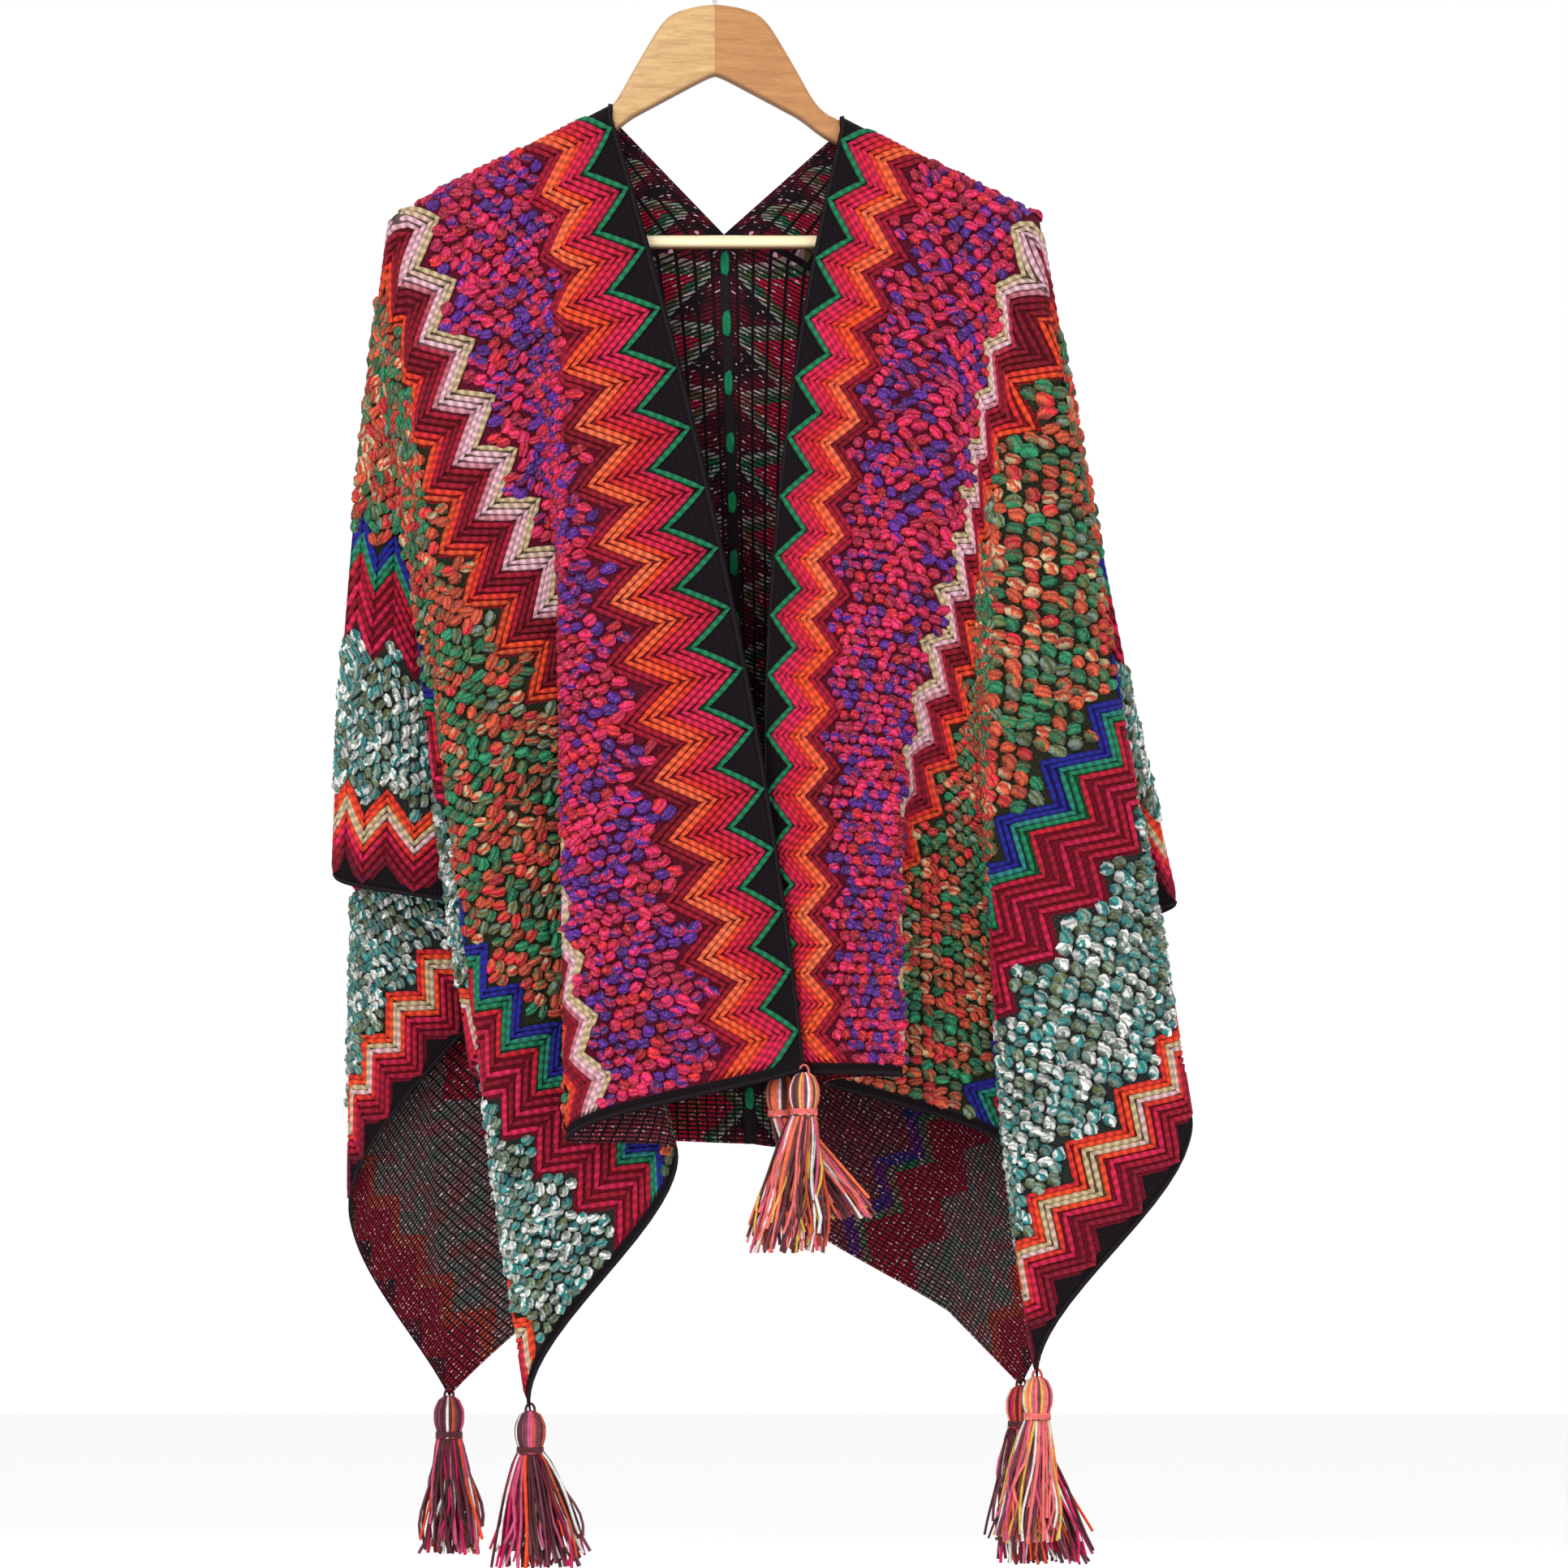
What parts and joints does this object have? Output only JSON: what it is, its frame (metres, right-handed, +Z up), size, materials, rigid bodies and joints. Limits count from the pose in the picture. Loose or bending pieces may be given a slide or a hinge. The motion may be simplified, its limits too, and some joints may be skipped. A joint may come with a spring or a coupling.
{
  "type": "open-front knitted poncho on a wooden hanger",
  "caption": "Open-front knitted poncho with zigzag and bobble bands and corner tassels, hung in folds on a wooden bar hanger.",
  "frame": {"origin": "inside top of the hanger's hook, where it rests on a rod", "axes": "+Z up, the garment's front faces -Y, +X to the viewer's right"},
  "size_m": [0.5869, 0.1888, 1.1285],
  "materials": {
    "knit_left": "knitted wool, many colours",
    "knit_right": "knitted wool, many colours",
    "tassel_yarn": "loose yarn",
    "hanger_wood": "clear lacquer",
    "bar_wood": "plain sanded",
    "hook_metal": "plain wire"
  },
  "bodies": {
    "root": {"panel_left": "knit_left", "panel_right": "knit_right", "tassel_left_front_inner": "tassel_yarn", "tassel_right_front_inner": "tassel_yarn", "tassel_left_front_outer": "tassel_yarn", "tassel_left_back_outer": "tassel_yarn", "tassel_right_front_outer": "tassel_yarn", "tassel_right_back_outer": "tassel_yarn", "hanger_arm_left": "hanger_wood", "hanger_arm_right": "hanger_wood", "hanger_bar": "bar_wood", "hanger_hook": "hook_metal"}
  },
  "joints": []
}
